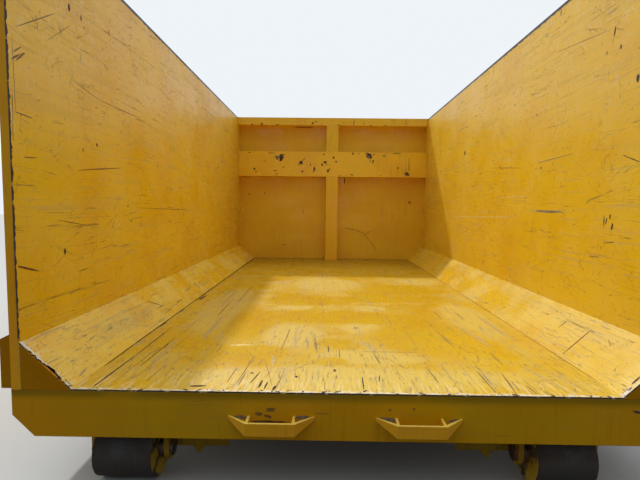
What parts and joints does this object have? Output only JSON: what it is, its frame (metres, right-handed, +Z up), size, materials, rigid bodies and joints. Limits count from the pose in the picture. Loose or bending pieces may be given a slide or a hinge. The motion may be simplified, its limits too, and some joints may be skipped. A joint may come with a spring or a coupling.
{
  "type": "roll-off tipper body",
  "caption": "Open-topped steel tipper body for a hook-lift carrier: ribbed walls, sloping floor sides, rear rollers, front hook frame and a side-hinged rear door swung open.",
  "frame": {"origin": "on the ground under the middle of the whole part's box, with the rear door swung open along the right side", "axes": "+Y forwards to the front wall and hook, +X to the body's right, +Z up"},
  "size_m": [2.67, 4.559, 2.193],
  "materials": {
    "yellow_paint": "worn, scratched gloss paint",
    "floor_paint": "paint worn by sliding loads",
    "bare_steel": "greased and lightly rusted",
    "roller_steel": "rusty, earth-stained"
  },
  "bodies": {
    "tipper_body": {"left_chamfer_plate": "yellow_paint", "right_chamfer_plate": "yellow_paint", "chamfer_end_plates": "yellow_paint", "left_side_wall": "yellow_paint", "right_side_wall": "yellow_paint", "left_side_ribs": "yellow_paint", "right_side_ribs": "yellow_paint", "left_top_rail": "yellow_paint", "right_top_rail": "yellow_paint", "left_bottom_rail": "yellow_paint", "right_bottom_rail": "yellow_paint", "rear_sill": "yellow_paint", "rear_posts": "yellow_paint", "front_wall": "yellow_paint", "front_centre_post": "yellow_paint", "front_top_rail": "yellow_paint", "front_mid_rail": "yellow_paint", "front_corner_strips": "yellow_paint", "front_corner_posts": "yellow_paint", "left_runner": "yellow_paint", "right_runner": "yellow_paint", "cross_members": "yellow_paint", "roller_brackets": "yellow_paint", "front_feet": "yellow_paint", "hook_frame": "yellow_paint", "hook_cheeks": "yellow_paint", "left_rear_step": "yellow_paint", "right_rear_step": "yellow_paint", "latch_keepers": "yellow_paint", "hinge_lugs": "yellow_paint", "floor_plate": "floor_paint", "roller_axles": "bare_steel", "hook_bar": "bare_steel", "hinge_pins": "bare_steel"},
    "left_roller": {"left_rear_roller": "roller_steel"},
    "right_roller": {"right_rear_roller": "roller_steel"},
    "rear_door": {"door_frame": "yellow_paint", "door_panel": "yellow_paint", "door_ribs": "yellow_paint", "door_hinge_straps": "yellow_paint", "latch_pins": "bare_steel"},
    "lower_latch": {"lower_door_latch": "yellow_paint"},
    "upper_latch": {"upper_door_latch": "yellow_paint"}
  },
  "joints": [
    {"name": "left_roller_turn", "type": "hinge", "parent": "tipper_body", "child": "left_roller", "pos_m": [-0.914, -1.9815, 0.11], "axis": [1, 0, 0], "continuous": true},
    {"name": "right_roller_turn", "type": "hinge", "parent": "tipper_body", "child": "right_roller", "pos_m": [0.784, -1.9815, 0.11], "axis": [1, 0, 0], "continuous": true},
    {"name": "door_swing", "type": "hinge", "parent": "tipper_body", "child": "rear_door", "pos_m": [1.235, -2.2495, 1.31], "axis": [0, 0, 1], "range_deg": [-270, 0]},
    {"name": "lower_latch_turn", "type": "hinge", "parent": "rear_door", "child": "lower_latch", "pos_m": [1.295, 0.29, 0.68], "axis": [0, -1, 0], "range_deg": [-150, 0]},
    {"name": "upper_latch_turn", "type": "hinge", "parent": "rear_door", "child": "upper_latch", "pos_m": [1.295, 0.29, 2.01], "axis": [0, -1, 0], "range_deg": [-150, 0]}
  ]
}
